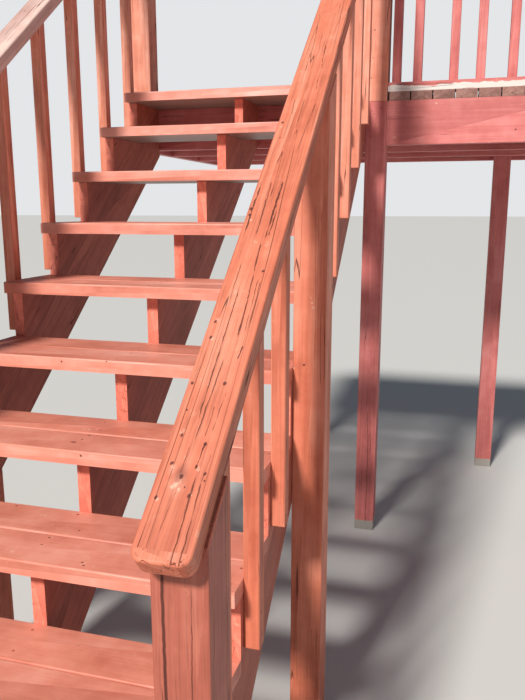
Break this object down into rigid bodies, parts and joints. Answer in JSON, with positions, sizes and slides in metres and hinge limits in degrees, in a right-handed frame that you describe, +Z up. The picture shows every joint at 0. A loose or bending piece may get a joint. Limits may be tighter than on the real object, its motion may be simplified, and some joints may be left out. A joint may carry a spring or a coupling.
{
  "type": "wooden deck stairs",
  "caption": "Open-riser wooden deck stairs: sawtooth stringers, two-board treads, sloping rails on square balusters, and a section of the raised deck with its guard.",
  "frame": {"origin": "centre of the footprint of the whole assembly, on the ground", "axes": "+Z up, +Y from the foot of the flight towards the deck, +X to the right when climbing"},
  "size_m": [2.168, 3.866, 3.0364],
  "materials": {
    "orange_stained_wood": "satin solid stain",
    "red_stained_wood": "satin solid stain",
    "weathered_boards": "weathered, mostly bare"
  },
  "bodies": {
    "root": {"balusters_left": "orange_stained_wood", "balusters_right": "orange_stained_wood", "deck_boards": "weathered_boards", "deck_post_back_left": "red_stained_wood", "deck_post_back_right": "red_stained_wood", "deck_post_end": "red_stained_wood", "deck_post_right": "red_stained_wood", "guard_balusters": "red_stained_wood", "guard_cap": "red_stained_wood", "guard_plate": "red_stained_wood", "handrail_left": "orange_stained_wood", "handrail_right": "orange_stained_wood", "joists": "red_stained_wood", "lower_post_left": "orange_stained_wood", "lower_post_right": "orange_stained_wood", "middle_post_left": "orange_stained_wood", "middle_post_right": "orange_stained_wood", "newel_cap_left": "orange_stained_wood", "newel_end": "red_stained_wood", "newel_left": "orange_stained_wood", "newel_right": "orange_stained_wood", "rim_back": "red_stained_wood", "rim_front": "red_stained_wood", "rim_left": "red_stained_wood", "rim_right": "red_stained_wood", "rim_stair": "red_stained_wood", "stringer_left": "orange_stained_wood", "stringer_middle": "orange_stained_wood", "stringer_right": "orange_stained_wood", "tread_01": "orange_stained_wood", "tread_02": "orange_stained_wood", "tread_03": "orange_stained_wood", "tread_04": "orange_stained_wood", "tread_05": "orange_stained_wood", "tread_06": "orange_stained_wood", "tread_07": "orange_stained_wood", "tread_08": "orange_stained_wood", "tread_09": "orange_stained_wood", "tread_10": "orange_stained_wood", "tread_11": "orange_stained_wood"}
  },
  "joints": []
}
